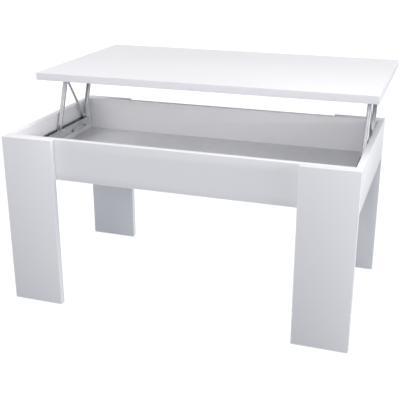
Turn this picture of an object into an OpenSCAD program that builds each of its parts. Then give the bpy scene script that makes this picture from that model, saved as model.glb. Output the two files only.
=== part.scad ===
// Lift top coffee table: a shallow white storage box on four board legs, with a
// top that rises and moves back on two rhombus linkages of pressed steel arms.
// X runs along the table, Y from the front to the back, Z up. The origin is on
// the floor, under the centre of the box. The table is drawn with its top raised.

/* [Box and legs] */
// Length of the box
box_l = 900; // [800:1:1100]
// Depth of the box over the outer faces of the legs
box_d = 500; // [460:1:600]
// Height of the box's rim above the floor
rim_h = 455.5; // [400:0.5:500]
// Height of the aprons and the end panels
apron_h = 106.5; // [95:0.5:140]
// Thickness of the legs, the aprons and the end panels
board_t = 16; // [15:0.5:19]
// Width of one leg board
leg_w = 139; // [110:1:180]
// Thickness of the storage floor
floor_t = 5; // [3:0.5:8]
// Height of the storage floor's underside above the apron's lower edge
floor_up = 8; // [6:0.5:14]
// How deep the storage floor sits in its grooves
groove_d = 7; // [5:0.5:8]

/* [Top] */
// Thickness of the top with its facing
top_t = 20; // [16:0.5:25]
// Overhang of the top past the box on every side
overhang = 7; // [0:0.5:15]
// Thickness of the edging round the top
edging_t = 1; // [0.6:0.1:2]
// Gap between the rim and the closed top
closed_gap = 1.2; // [1:0.1:3]

/* [Lift linkage] */
// Pivot to pivot length of the arms, and the distance between the lower pivots
arm_l = 156; // [145:0.5:165]
// How far the raised arms lean back past upright, in degrees
lean = 21.5; // [18:0.5:26]
// Place of the front lower pivot behind the middle of the box
pivot_y = 0; // [-20:1:20]
// Depth of the lower pivots below the rim
pivot_drop = 49; // [43:0.5:54]
// Depth of the upper pivots below the top's underside
pivot_hang = 8.5; // [8:0.5:10]
// Width of an arm across its two ears
arm_w = 11; // [10:0.5:12]
// Depth of an arm's ears between its ends
arm_d = 8; // [7:0.5:9]
// Thickness of the pressed steel
steel_t = 1.5; // [1.2:0.1:2]
// Radius of the pivot pins
pin_r = 3; // [2.5:0.1:3.5]

/* [Channels] */
// Width of the channel on the box's end panel
base_w = 18; // [17:0.5:20]
// Depth of the base channel
base_h = 26; // [24:1:34]
// Length of the base channel in front of the front pivot
base_front = 190; // [150:1:195]
// Length of the base channel behind the rear pivot
base_rear = 11; // [10:1:30]
// Width of the channel under the top
cap_w = 16; // [15:0.5:16]
// Depth of the channel under the top
cap_h = 15; // [13:0.5:17]
// Gap between the upper channel and the closed box's end panel
cap_gap = 1; // [0.5:0.1:1]

/* [Pull strut] */
// Radius of the strut's lower sleeve
sleeve_r = 3.7; // [3.5:0.1:3.8]
// Radius of the strut's tube above the sleeve
tube_r = 3.1; // [2.9:0.1:3.3]
// Radius of the strut's rod
rod_r = 1.6; // [1.4:0.1:2]
// Length of the sleeve, from the lower pin
sleeve_l = 88; // [60:1:120]
// Radius of the round foot at the strut's lower end
foot_r = 8; // [6:0.5:8]

/* [Fasteners] */
// Radius of the wood screws' shanks
screw_r = 2; // [1.5:0.1:2.5]
// Radius of the white caps over the leg screws
cap_r = 5.5; // [5:0.5:8]
// Height of the glides under the legs
glide_h = 1.5; // [1:0.5:3]
// Radius of the glides under the legs
glide_r = 6; // [4:0.5:7]

/* [Hidden] */

$fn = 48;
LEFT = -1;
RIGHT = 1;
SIDES = [LEFT, RIGHT];
CUT = 1;               // how far a cutter runs past the face that it opens
FIT = 0.05;            // radial clearance of a pin or a screw in its hole
white = "#f1f1f4";
steel = "#a9abae";
dark_steel = "#8f9093";
black = "#1c1c1e";

// boards
apron_y = box_d / 2 - board_t * 1.5;          // middle of an apron
inner_y = box_d / 2 - 2 * board_t;            // inner face of an apron
leg_y = box_d / 2 - board_t / 2;              // middle of a leg
leg_x = box_l / 2 - leg_w / 2;
inner_x = box_l / 2 - board_t;                // inner face of an end panel
apron_z = rim_h - apron_h;                    // lower edge of the box
floor_z = apron_z + floor_up;                 // underside of the storage floor
groove_gap = 0.2;                             // play of the floor in its grooves

// screws through the aprons into the legs, four in each leg
leg_screw_dx = 35;
leg_screw_z = [rim_h - 28, rim_h - 78];
leg_screw_l = 28;
screw_head_r = 4;
screw_head_h = 2.6;
cap_disc_h = 1.4;              // thickness of a cap
cap_proud = 0.4;               // how far it stands out of the board
screw_seat = inner_y + cap_disc_h - cap_proud;   // where a screw's head starts

// screws through the aprons into the edges of the end panels, hidden by the legs
corner_screw_l = 50;
corner_screw_r = 2.5;
corner_screw_z = [rim_h - 32, rim_h - 76];

// glides, two under each leg
glide_dx = 48;
glide_nail_r = 1;
glide_nail_l = 12;

// linkage
pivot_z = rim_h - pivot_drop;
rear_pivot_y = pivot_y + arm_l;
top_z = pivot_z + arm_l * cos(lean) + pivot_hang;          // underside of the raised top
closed_lean = acos((pivot_drop - pivot_hang + closed_gap) / arm_l);
top_y = arm_l * (sin(lean) + sin(closed_lean));            // how far the raised top has moved back
cap_pin_z = top_z - pivot_hang;
cap_pin_y = pivot_y + arm_l * sin(lean);
strut_lean = 90 - (90 + lean) / 2;                         // the strut is the rhombus's diagonal
strut_l = 2 * arm_l * sin((90 - lean) / 2);                // pin to pin, with the top raised
hole_r = pin_r + FIT;
ear_r = pin_r + 2.5;                                       // round end of an arm
web_from = 15;                                             // the arm's web starts this far from a pin
arm_x = inner_x - base_w / 2;                              // middle plane of a linkage

// base channel
base_rise = 5.5;                                           // flange above the pivot line
base_lug_r = 6.5;
base_y0 = pivot_y - base_front;
base_y1 = rear_pivot_y + base_rear;
base_z1 = pivot_z + base_rise;
base_z0 = base_z1 - base_h;
base_screw_z = pivot_z - 14;
base_screw_y = [base_y0 + 26, base_y0 + 112, pivot_y + 62, rear_pivot_y - 20];
access_r = 5;
pin_head_r = 5;
pin_head_h = 1.5;

// upper channel
cap_l = 260;
cap_front = 35;                                            // channel in front of the front pin
cap_y0 = cap_pin_y - cap_front;
cap_x1 = inner_x - cap_gap;                                // outer face
cap_screw_y = [cap_y0 + 14, cap_y0 + 78, cap_y0 + 152, cap_y0 + 240];
top_screw_l = 14;
pan_r = 3.8;
pan_h = 2;

// strut, measured along its own length from the lower pin
strut_w = 7.4;                                             // width of the foot and the eye
tube_from = 6;
tube_wall_end = 8;
tube_to = strut_l - 9.5;
bore_r = 2.4;
piston_r = bore_r - 0.08;
piston_l = 4;
gland_l = 7;
rod_reach = strut_l - 10.5;                                // from the upper pin to the piston's end
eye_r = ear_r;
rod_from = 3.8;                                            // the rod's end inside the eye

// ---- helpers ----

// Both linkages are drawn on the left and mirrored to the right.
module on_side(side) {
    if (side == RIGHT) mirror([1, 0, 0]) children();
    else children();
}

// What lies towards the back is drawn once and mirrored to the front.
module facing(sy) {
    if (sy < 0) mirror([0, 1, 0]) children();
    else children();
}

// A cylinder that runs along X from x0 to x1.
module x_rod(r, x0, x1) {
    translate([x0, 0, 0]) rotate([0, 90, 0]) cylinder(r = r, h = x1 - x0);
}

// A cylinder that runs along Y from y0 to y1, where y0 is the lower value.
module y_rod(r, y0, y1) {
    translate([0, y1, 0]) rotate([90, 0, 0]) cylinder(r = r, h = y1 - y0);
}

// ---- box ----

// One leg board, with blind pilot holes for its screws and its glides' nails.
module leg(sx, sy) {
    color(white) difference() {
        translate([sx * leg_x - leg_w / 2, sy * leg_y - board_t / 2, glide_h])
            cube([leg_w, board_t, rim_h - glide_h]);
        for (dx = [-leg_screw_dx, leg_screw_dx], z = leg_screw_z)
            translate([sx * leg_x + dx, 0, z])
                facing(sy) y_rod(screw_r + FIT, inner_y + board_t - CUT, inner_y + leg_screw_l + 1);
        for (dx = [-glide_dx, glide_dx])
            translate([sx * leg_x + dx, sy * leg_y, glide_h - CUT])
                cylinder(r = glide_nail_r + FIT, h = glide_nail_l + 1 + CUT);
    }
}

// A front or rear apron: the groove for the floor, and the holes for the screws.
module apron(sy) {
    color(white) difference() {
        translate([-box_l / 2, sy * apron_y - board_t / 2, apron_z]) cube([box_l, board_t, apron_h]);
        facing(sy) {
            translate([-inner_x - groove_d, inner_y - CUT, floor_z - groove_gap / 2])
                cube([2 * (inner_x + groove_d), groove_d + CUT, floor_t + groove_gap]);
            for (sx = SIDES, dx = [-leg_screw_dx, leg_screw_dx], z = leg_screw_z)
                translate([sx * leg_x + dx, 0, z]) {
                    y_rod(screw_r + FIT, inner_y - CUT, inner_y + board_t + CUT);
                    translate([0, screw_seat, 0]) screw_head(FIT);
                    y_rod(cap_r + FIT, inner_y - CUT, screw_seat);
                }
            for (sx = SIDES, z = corner_screw_z)
                translate([sx * (box_l / 2 - board_t / 2), 0, z])
                    y_rod(corner_screw_r + FIT, inner_y - CUT, inner_y + board_t + CUT);
        }
    }
}

// An end panel between the aprons: the groove for the floor, and pilot holes.
module end_panel(side) {
    color(white) on_side(side) difference() {
        translate([-box_l / 2, -inner_y, apron_z]) cube([board_t, 2 * inner_y, apron_h]);
        translate([-inner_x - groove_d, -inner_y - CUT, floor_z - groove_gap / 2])
            cube([groove_d + CUT, 2 * (inner_y + CUT), floor_t + groove_gap]);
        for (sy = SIDES, z = corner_screw_z)
            translate([-box_l / 2 + board_t / 2, 0, z])
                facing(sy)
                    y_rod(corner_screw_r + FIT, inner_y + board_t - corner_screw_l - 1, inner_y + CUT);
        for (y = base_screw_y)
            translate([0, y, base_screw_z])
                x_rod(screw_r + FIT, -inner_x - 13, -inner_x + CUT);
    }
}

// The thin floor of the storage space, held in the grooves all round.
module storage_floor() {
    play = 0.3;
    color(white)
        translate([-inner_x - groove_d + play, -inner_y - groove_d + play, floor_z])
            cube([2 * (inner_x + groove_d - play), 2 * (inner_y + groove_d - play), floor_t]);
}

// A countersunk head along Y: wide at y = 0 and narrow at y = screw_head_h.
module screw_head(grow) {
    rotate([-90, 0, 0])
        cylinder(r1 = screw_head_r + grow, r2 = screw_r + grow, h = screw_head_h);
}

module leg_screws() {
    color(steel)
        for (sx = SIDES, sy = SIDES, dx = [-leg_screw_dx, leg_screw_dx], z = leg_screw_z)
            translate([sx * leg_x + dx, 0, z]) facing(sy) {
                translate([0, screw_seat, 0]) screw_head(0);
                y_rod(screw_r, screw_seat + screw_head_h / 2, inner_y + leg_screw_l);
            }
}

// Discs set into the apron that hide the screw heads inside the box.
module leg_screw_caps() {
    color(white)
        for (sx = SIDES, sy = SIDES, dx = [-leg_screw_dx, leg_screw_dx], z = leg_screw_z)
            translate([sx * leg_x + dx, 0, z]) facing(sy)
                translate([0, screw_seat, 0]) rotate([90, 0, 0]) cap_disc();
}

module cap_disc() {
    edge = 0.3;
    rotate_extrude() polygon([
        [0, 0], [cap_r, 0], [cap_r, cap_disc_h - edge], [cap_r - edge, cap_disc_h], [0, cap_disc_h]
    ]);
}

module corner_screws() {
    color(steel)
        for (sx = SIDES, sy = SIDES, z = corner_screw_z)
            translate([sx * (box_l / 2 - board_t / 2), 0, z]) facing(sy)
                y_rod(corner_screw_r, inner_y + board_t - corner_screw_l, inner_y + board_t);
}

module floor_glides() {
    color(black)
        for (sx = SIDES, sy = SIDES, dx = [-glide_dx, glide_dx])
            translate([sx * leg_x + dx, sy * leg_y, 0]) {
                cylinder(r = glide_r, h = glide_h);
                cylinder(r = glide_nail_r, h = glide_h + glide_nail_l);
            }
}

// ---- channels ----

// Pressed channel on the end panel, open upwards, with a round lug at each pivot
// and access holes opposite its screws.
module base_channel(side) {
    color(steel) on_side(side) difference() {
        union() {
            translate([-inner_x, base_y0, base_z0]) cube([steel_t, base_y1 - base_y0, base_h]);
            translate([-inner_x + base_w - steel_t, base_y0, base_z0])
                cube([steel_t, base_y1 - base_y0, base_h]);
            translate([-inner_x, base_y0, base_z0]) cube([base_w, base_y1 - base_y0, steel_t]);
            for (y = [pivot_y, rear_pivot_y]) translate([0, y, pivot_z]) {
                x_rod(base_lug_r, -inner_x, -inner_x + steel_t);
                x_rod(base_lug_r, -inner_x + base_w - steel_t, -inner_x + base_w);
            }
        }
        for (y = [pivot_y, rear_pivot_y])
            translate([0, y, pivot_z]) x_rod(hole_r, -inner_x - CUT, -inner_x + base_w + CUT);
        for (y = base_screw_y) translate([0, y, base_screw_z]) {
            x_rod(screw_r + FIT, -inner_x - CUT, -inner_x + base_w / 2);
            x_rod(access_r, -inner_x + base_w / 2, -inner_x + base_w + CUT);
        }
    }
}

module base_channel_screws() {
    color(steel)
        for (side = SIDES) on_side(side)
            for (y = base_screw_y) translate([0, y, base_screw_z]) {
                x_rod(screw_r, -inner_x - 12, -inner_x + steel_t);
                x_rod(pan_r, -inner_x + steel_t, -inner_x + steel_t + pan_h);
            }
}

module lower_pivot_pins() {
    color(steel)
        for (side = SIDES) on_side(side)
            for (y = [pivot_y, rear_pivot_y]) translate([0, y, pivot_z]) {
                x_rod(pin_r, -inner_x, -inner_x + base_w + pin_head_h);
                x_rod(pin_head_r, -inner_x + base_w, -inner_x + base_w + pin_head_h);
            }
}

// Spacers that centre an arm between two flanges; clear is the play on each side.
module pivot_washers(x0, x1, y, z, clear) {
    for (span = [[x0, -arm_x - arm_w / 2 - clear], [-arm_x + arm_w / 2 + clear, x1]])
        translate([0, y, z]) difference() {
            x_rod(ear_r, span[0], span[1]);
            x_rod(hole_r, span[0] - CUT, span[1] + CUT);
        }
}

module lower_pivot_washers() {
    color(black)
        for (side = SIDES, y = [pivot_y, rear_pivot_y]) on_side(side)
            pivot_washers(-inner_x + steel_t, -inner_x + base_w - steel_t, y, pivot_z, 0.2);
}

// Pressed channel under the top, open downwards.
module top_channel(side) {
    color(steel) on_side(side) difference() {
        union() {
            translate([-cap_x1, cap_y0, top_z - cap_h]) cube([steel_t, cap_l, cap_h]);
            translate([-cap_x1 + cap_w - steel_t, cap_y0, top_z - cap_h]) cube([steel_t, cap_l, cap_h]);
            translate([-cap_x1, cap_y0, top_z - steel_t]) cube([cap_w, cap_l, steel_t]);
        }
        for (y = [cap_pin_y, cap_pin_y + arm_l])
            translate([0, y, cap_pin_z]) x_rod(hole_r, -cap_x1 - CUT, -cap_x1 + cap_w + CUT);
        for (y = cap_screw_y)
            translate([-arm_x, y, top_z - steel_t - CUT]) cylinder(r = screw_r + FIT, h = steel_t + 2 * CUT);
    }
}

module top_channel_screws() {
    color(steel)
        for (side = SIDES) on_side(side)
            for (y = cap_screw_y) translate([-arm_x, y, top_z - steel_t]) {
                translate([0, 0, -pan_h]) cylinder(r = pan_r, h = pan_h);
                cylinder(r = screw_r, h = top_screw_l);
            }
}

module upper_pivot_pins() {
    color(steel)
        for (side = SIDES) on_side(side)
            for (y = [cap_pin_y, cap_pin_y + arm_l]) translate([0, y, cap_pin_z]) {
                x_rod(pin_r, -cap_x1, -cap_x1 + cap_w + pin_head_h);
                x_rod(pin_head_r, -cap_x1 + cap_w, -cap_x1 + cap_w + pin_head_h);
            }
}

module upper_pivot_washers() {
    color(black)
        for (side = SIDES, y = [cap_pin_y, cap_pin_y + arm_l]) on_side(side)
            pivot_washers(-cap_x1 + steel_t, -cap_x1 + cap_w - steel_t, y, cap_pin_z, 0.2);
}

// ---- arms ----

// Side view of one ear: a bar with round ends, from pivot to pivot along Z.
module ear_outline() {
    difference() {
        union() {
            circle(r = ear_r);
            translate([0, arm_l]) circle(r = ear_r);
            translate([-arm_d / 2, 0]) square([arm_d, arm_l]);
        }
        circle(r = hole_r);
        translate([0, arm_l]) circle(r = hole_r);
    }
}

// One arm stands on its lower pivot. Its web is on the side away from the strut:
// at web = -1 it faces the front, and at web = 1 it faces the rear.
module arm(web) {
    for (x = [-arm_w / 2, arm_w / 2 - steel_t])
        translate([x, 0, 0]) rotate([90, 0, 90]) linear_extrude(height = steel_t) ear_outline();
    translate([-arm_w / 2, web > 0 ? arm_d / 2 - steel_t : -arm_d / 2, web_from])
        cube([arm_w, steel_t, arm_l - 2 * web_from]);
}

module front_arm(side) {
    color(steel) on_side(side)
        translate([-arm_x, pivot_y, pivot_z]) rotate([-lean, 0, 0]) arm(-1);
}

module rear_arm(side) {
    color(steel) on_side(side)
        translate([-arm_x, rear_pivot_y, pivot_z]) rotate([-lean, 0, 0]) arm(1);
}

// ---- top ----

module tabletop() {
    l = box_l + 2 * (overhang - edging_t);
    d = box_d + 2 * (overhang - edging_t);
    color(white) difference() {
        translate([-l / 2, top_y - d / 2, top_z]) cube([l, d, top_t]);
        for (side = SIDES, y = cap_screw_y)
            translate([side * arm_x, y, top_z - CUT])
                cylinder(r = screw_r + FIT, h = top_screw_l - steel_t + 1 + CUT);
    }
}

// Four strips round the board: the front and the rear one run the full length,
// and the ends of the other two stop a hairline short of them.
module tabletop_edging() {
    hairline = 0.05;
    l = box_l + 2 * overhang;
    d = box_d + 2 * overhang;
    color(white) for (s = SIDES) {
        translate([-l / 2, top_y + s * (d / 2 - edging_t / 2) - edging_t / 2, top_z])
            cube([l, edging_t, top_t]);
        translate([s * (l / 2 - edging_t / 2) - edging_t / 2, top_y - d / 2 + edging_t, top_z])
            translate([0, hairline, 0]) cube([edging_t, d - 2 * (edging_t + hairline), top_t]);
    }
}

// Clear dots that keep the closed top off the rim.
module top_bumpers() {
    color("silver")
        for (sx = SIDES, sy = SIDES)
            translate([sx * (box_l / 2 - board_t / 2), top_y + sy * 190, top_z - closed_gap + 0.3])
                cylinder(r = 4, h = closed_gap - 0.3);
}

// ---- pull struts ----

// The strut stands on the rear lower pin and leans forward to the front upper pin.
module on_strut(side) {
    on_side(side) translate([-arm_x, rear_pivot_y, pivot_z]) rotate([strut_lean, 0, 0]) children();
}

// Round foot on the lower pin, forked round the end of the tube.
module strut_foot(side) {
    color(black) on_strut(side) difference() {
        x_rod(foot_r, -strut_w / 2, strut_w / 2);
        x_rod(hole_r, -strut_w, strut_w);
        translate([0, 0, tube_from]) cylinder(r = sleeve_r + FIT, h = foot_r);
    }
}

// Tube with its thicker lower sleeve, bored for the piston and closed at the foot.
module strut_tube(side) {
    color(dark_steel) on_strut(side) difference() {
        union() {
            translate([0, 0, tube_from]) cylinder(r = sleeve_r, h = sleeve_l - tube_from);
            translate([0, 0, tube_from]) cylinder(r = tube_r, h = tube_to - tube_from);
        }
        translate([0, 0, tube_wall_end]) cylinder(r = bore_r, h = tube_to);
    }
}

// Guide ring pressed into the open end of the tube.
module strut_gland(side) {
    color(black) on_strut(side) difference() {
        translate([0, 0, tube_to - gland_l]) cylinder(r = bore_r - 0.01, h = gland_l);
        translate([0, 0, tube_to - gland_l - CUT]) cylinder(r = rod_r + FIT, h = gland_l + 2 * CUT);
    }
}

// Rod with its piston, hung from the eye on the upper pin.
module strut_rod(side) {
    color(steel) on_strut(side) {
        translate([0, 0, strut_l - rod_reach]) cylinder(r = rod_r, h = rod_reach - rod_from);
        translate([0, 0, strut_l - rod_reach]) cylinder(r = piston_r, h = piston_l);
    }
}

module strut_eye(side) {
    color(dark_steel) on_strut(side) difference() {
        translate([0, 0, strut_l]) x_rod(eye_r, -strut_w / 2, strut_w / 2);
        translate([0, 0, strut_l]) x_rod(hole_r, -strut_w, strut_w);
        translate([0, 0, strut_l - eye_r - CUT]) cylinder(r = rod_r, h = eye_r - rod_from + CUT);
    }
}

leg(LEFT, -1);  // leg_front_left
leg(RIGHT, -1);  // leg_front_right
leg(LEFT, 1);  // leg_rear_left
leg(RIGHT, 1);  // leg_rear_right
apron(-1);  // apron_front
apron(1);  // apron_rear
end_panel(LEFT);  // end_panel_left
end_panel(RIGHT);  // end_panel_right
storage_floor();
leg_screws();
leg_screw_caps();
corner_screws();
floor_glides();
base_channel(LEFT);  // base_channel_left
base_channel(RIGHT);  // base_channel_right
base_channel_screws();
lower_pivot_pins();
lower_pivot_washers();
front_arm(LEFT);  // front_arm_left
front_arm(RIGHT);  // front_arm_right
rear_arm(LEFT);  // rear_arm_left
rear_arm(RIGHT);  // rear_arm_right
tabletop();
tabletop_edging();
top_channel(LEFT);  // top_channel_left
top_channel(RIGHT);  // top_channel_right
top_channel_screws();
upper_pivot_pins();
upper_pivot_washers();
top_bumpers();
strut_foot(LEFT);  // strut_foot_left
strut_tube(LEFT);  // strut_tube_left
strut_gland(LEFT);  // strut_gland_left
strut_rod(LEFT);  // strut_rod_left
strut_eye(LEFT);  // strut_eye_left
strut_foot(RIGHT);  // strut_foot_right
strut_tube(RIGHT);  // strut_tube_right
strut_gland(RIGHT);  // strut_gland_right
strut_rod(RIGHT);  // strut_rod_right
strut_eye(RIGHT);  // strut_eye_right
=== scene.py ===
import math

import bmesh
import bpy
from bpy.props import FloatProperty, FloatVectorProperty, PointerProperty
from bpy.types import Operator, Panel, PropertyGroup
from mathutils import Matrix, Vector


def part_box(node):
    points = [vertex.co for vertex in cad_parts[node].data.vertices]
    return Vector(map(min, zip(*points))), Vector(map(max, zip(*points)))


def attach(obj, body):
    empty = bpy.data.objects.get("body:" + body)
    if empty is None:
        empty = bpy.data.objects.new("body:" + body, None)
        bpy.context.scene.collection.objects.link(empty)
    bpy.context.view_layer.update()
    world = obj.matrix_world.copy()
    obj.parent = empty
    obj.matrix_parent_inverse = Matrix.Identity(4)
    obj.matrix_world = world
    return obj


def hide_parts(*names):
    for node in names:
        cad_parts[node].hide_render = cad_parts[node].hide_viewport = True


bl_info = {
    "name": "Lift Top Coffee Table",
    "version": (1, 0, 0),
    "blender": (4, 5, 0),
    "location": "View3D > Sidebar > Lift Table",
    "description": "Builds the boards, the lift linkages and the fittings of a lift top table",
    "category": "Object",
}

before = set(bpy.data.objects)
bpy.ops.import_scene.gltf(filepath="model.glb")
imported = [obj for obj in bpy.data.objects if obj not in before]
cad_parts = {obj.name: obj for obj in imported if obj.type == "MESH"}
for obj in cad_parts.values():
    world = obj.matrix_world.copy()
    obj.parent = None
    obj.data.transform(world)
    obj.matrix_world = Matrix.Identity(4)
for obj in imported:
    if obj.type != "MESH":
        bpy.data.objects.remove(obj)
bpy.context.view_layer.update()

MM = 0.001
SIDES = ("left", "right")
UP = Vector((0, 0, 1))

SHEET = 1.5 * MM          # Thickness of the pressed steel
FLANGE_RISE = 5.5 * MM    # How far the base channels' flanges reach above the pivots
FAR = 20 * MM             # How far a cutting tool reaches past the piece
PAST = 5 * MM             # The same for short tools and thin pieces
PLAY = 0.1 * MM           # Room round the storage floor in its grooves

# Radii of the holes
PIN_HOLE = 3.05 * MM
SCREW_HOLE = 2.1 * MM
ACCESS_HOLE = 4.8 * MM
PILOT_HOLE = 2.05 * MM
NAIL_HOLE = 1.05 * MM
CAP_RECESS = 5.62 * MM


# ---- places read from the frame ----

def solids(node):
    """Lowest and highest corner of each separate solid of a CAD node, from left to right."""
    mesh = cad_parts[node].data
    number, parent = {}, []

    def root(i):
        while parent[i] != i:
            parent[i] = parent[parent[i]]
            i = parent[i]
        return i

    spots = []
    for vertex in mesh.vertices:
        key = tuple(round(c, 6) for c in vertex.co)
        if key not in number:
            number[key] = len(parent)
            parent.append(len(parent))
        spots.append(number[key])
    for face in mesh.polygons:
        first = spots[face.vertices[0]]
        for i in face.vertices:
            parent[root(spots[i])] = root(first)
    groups = {}
    for vertex, spot in zip(mesh.vertices, spots):
        groups.setdefault(root(spot), []).append(vertex.co)
    found = [(Vector(map(min, zip(*g))), Vector(map(max, zip(*g)))) for g in groups.values()]
    return sorted(found, key=lambda box: [round(c, 4) for c in box[0]])


def middle(box):
    return (box[0] + box[1]) / 2


def middles(node):
    return [middle(box) for box in solids(node)]


# The pins come as left front, left rear, right front, right rear.
LOWER_PINS = middles("lower_pivot_pins")
UPPER_PINS = middles("upper_pivot_pins")
ARM_PLANE = middle(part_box("front_arm_left")).x
ARM_RUN = UPPER_PINS[0] - LOWER_PINS[0]
ARM_LENGTH = math.hypot(ARM_RUN.y, ARM_RUN.z)
ARM_LEAN = math.atan2(ARM_RUN.y, ARM_RUN.z)
STRUT_RUN = UPPER_PINS[0] - LOWER_PINS[1]
STRUT_LENGTH = math.hypot(STRUT_RUN.y, STRUT_RUN.z)
STRUT_LEAN = math.atan2(-STRUT_RUN.y, STRUT_RUN.z)


# ---- settings ----

def size_setting(name, description, default, low, high):
    """A length, given in millimetres."""
    return FloatProperty(name=name, description=description, default=default * MM,
                         min=low * MM, max=high * MM, unit="LENGTH", precision=5)


def colour_setting(name, description, default, high=1):
    return FloatVectorProperty(name=name, description=description, default=default,
                               min=0, max=high, subtype="COLOR")


def power_setting(name, description, default):
    return FloatProperty(name=name, description=description, default=default,
                         min=0, max=1000, unit="POWER")


class TableBoards(PropertyGroup):
    arris: size_setting("Arris", "Radius of the softened edges of the boards", 0.8, 0.2, 3)
    band: size_setting("Edging", "Thickness of the edging that shows at a board's faces",
                       1.0, 0.4, 3)
    seam: size_setting("Seam", "Width of the fine line between the edging and the face",
                       0.12, 0.02, 0.5)


class TableSteel(PropertyGroup):
    bend: size_setting("Bend", "Outer radius of the bends in the pressed steel", 2.2, 1.6, 3)
    burr: size_setting("Edge", "Radius of the tumbled edges of the pressed steel",
                       0.22, 0.05, 0.4)
    rib: size_setting("Rib Depth", "Depth of the rib pressed into the arms", 0.45, 0.1, 0.8)


class TableFinish(PropertyGroup):
    board: colour_setting("Boards", "Colour of the white boards", (0.80, 0.797, 0.812))
    edging: colour_setting("Edging", "Colour of the edging strips", (0.87, 0.868, 0.885))
    lacquer: colour_setting("Storage Floor", "Colour of the lacquered storage floor",
                            (0.90, 0.90, 0.915))
    steel: colour_setting("Pressed Steel", "Colour of the zinc plated pressed steel",
                          (0.65, 0.66, 0.67))
    dark: colour_setting("Dark Steel", "Colour of the phosphated steel of the struts",
                         (0.58, 0.58, 0.59))
    nylon: colour_setting("Nylon", "Colour of the feet, the washers and the glides",
                          (0.022, 0.022, 0.024))


class TableStage(PropertyGroup):
    place: FloatVectorProperty(
        name="Camera", description="Place of the camera",
        default=(0.6143, -1.8270, 0.9685), subtype="TRANSLATION", unit="LENGTH")
    turn: FloatVectorProperty(
        name="Camera Turn", description="Turn of the camera",
        default=(math.radians(69.53), 0, math.radians(18.72)), subtype="EULER", unit="ROTATION")
    lens: FloatProperty(
        name="Lens", description="Focal length of the camera, in millimetres",
        default=67.70, min=20, max=200)
    sky: FloatProperty(
        name="Room Light", description="Brightness of the room round the table",
        default=0.49, min=0, max=3)
    key: power_setting("Key Light", "Power of the soft light on the right", 160)
    overhead: power_setting("Overhead Light", "Power of the wide light above the left side", 102)
    rear: power_setting("Rear Light", "Power of the high light behind the table", 77)
    front: power_setting("Front Light", "Power of the low wide light in front", 72)
    high: power_setting("High Light", "Power of the high front light that reaches into the box", 22)
    floor: FloatProperty(
        name="Floor Glow", description="Light that the white floor gives back to the table",
        default=0.21, min=0, max=3)
    bounce: colour_setting("Floor Tint", "Colour of the light that the floor gives back",
                           (0.80, 0.91, 1.14), 2)


def boards():
    return bpy.context.scene.table_boards


def pressings():
    return bpy.context.scene.table_steel


def finishes():
    return bpy.context.scene.table_finish


# ---- modelling by hand, in code ----

def clear_selection():
    for obj in bpy.context.selected_objects:
        obj.select_set(False)


def activate(obj):
    clear_selection()
    obj.select_set(True)
    bpy.context.view_layer.objects.active = obj


def open_mesh(obj, kind="VERT"):
    activate(obj)
    bpy.ops.object.mode_set(mode="EDIT")
    bpy.ops.mesh.select_mode(type=kind)


def close_mesh():
    bpy.ops.object.mode_set(mode="OBJECT")


def tidy_mesh(obj):
    """Merges what touches and turns every face outwards."""
    open_mesh(obj)
    bpy.ops.mesh.select_all(action="SELECT")
    bpy.ops.mesh.remove_doubles(threshold=0.002 * MM)
    bpy.ops.mesh.normals_make_consistent(inside=False)
    close_mesh()


def pick_faces(test):
    """In edit mode, selects the faces whose middle and normal pass test."""
    bpy.ops.mesh.select_mode(type="FACE")
    bpy.ops.mesh.select_all(action="DESELECT")
    mesh = bpy.context.edit_object.data
    for face in bmesh.from_edit_mesh(mesh).faces:
        if test(face.calc_center_median(), face.normal):
            face.select_set(True)
    bmesh.update_edit_mesh(mesh)


def pick_edges(test):
    """In edit mode, selects the edges whose two ends pass test."""
    bpy.ops.mesh.select_mode(type="EDGE")
    bpy.ops.mesh.select_all(action="DESELECT")
    mesh = bpy.context.edit_object.data
    for edge in bmesh.from_edit_mesh(mesh).edges:
        if test(*(v.co for v in edge.verts)):
            edge.select_set(True)
    bmesh.update_edit_mesh(mesh)


def apply_place(obj):
    activate(obj)
    bpy.ops.object.transform_apply(location=True, rotation=True, scale=True)


def rename(obj, name):
    obj.name = obj.data.name = name
    return obj


def block(name, low, high):
    """A plain block between two corners, to be shaped further."""
    clear_selection()
    low, high = Vector(low), Vector(high)
    bpy.ops.mesh.primitive_cube_add(size=1, location=(low + high) / 2, scale=high - low)
    obj = rename(bpy.context.active_object, name)
    apply_place(obj)
    return obj


def draw(name, points):
    """A wire through points, drawn by extruding one vertex. It is left in edit mode."""
    clear_selection()
    bpy.ops.mesh.primitive_plane_add(size=MM)
    obj = rename(bpy.context.active_object, name)
    open_mesh(obj)
    bpy.ops.mesh.select_all(action="SELECT")
    bpy.ops.mesh.merge(type="CENTER")
    points = [Vector(p) for p in points]
    bpy.ops.transform.translate(value=points[0])
    for here, there in zip(points, points[1:]):
        bpy.ops.mesh.extrude_region_move(TRANSFORM_OT_translate={"value": there - here})
    return obj


def slab(name, outline, depth):
    """A flat piece: an outline that is filled, then extruded by the vector depth."""
    obj = draw(name, outline)
    bpy.ops.mesh.select_all(action="SELECT")
    bpy.ops.mesh.edge_face_add()
    bpy.ops.mesh.extrude_region_move(TRANSFORM_OT_translate={"value": depth})
    close_mesh()
    tidy_mesh(obj)
    return obj


def turned(name, profile, steps=32):
    """A turned piece on the Z axis, from (radius, height) pairs in millimetres."""
    obj = draw(name, [(r * MM, 0, z * MM) for r, z in profile])
    bpy.ops.mesh.select_all(action="SELECT")
    bpy.ops.mesh.spin(steps=steps, angle=math.tau, center=(0, 0, 0), axis=(0, 0, 1))
    close_mesh()
    tidy_mesh(obj)
    return obj


def arc(u, v, radius, start, end, steps=6):
    """Points on an arc round (u, v), between two angles in degrees."""
    angles = [math.radians(start + (end - start) * i / steps) for i in range(steps + 1)]
    return [(u + radius * math.cos(a), v + radius * math.sin(a)) for a in angles]


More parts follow.
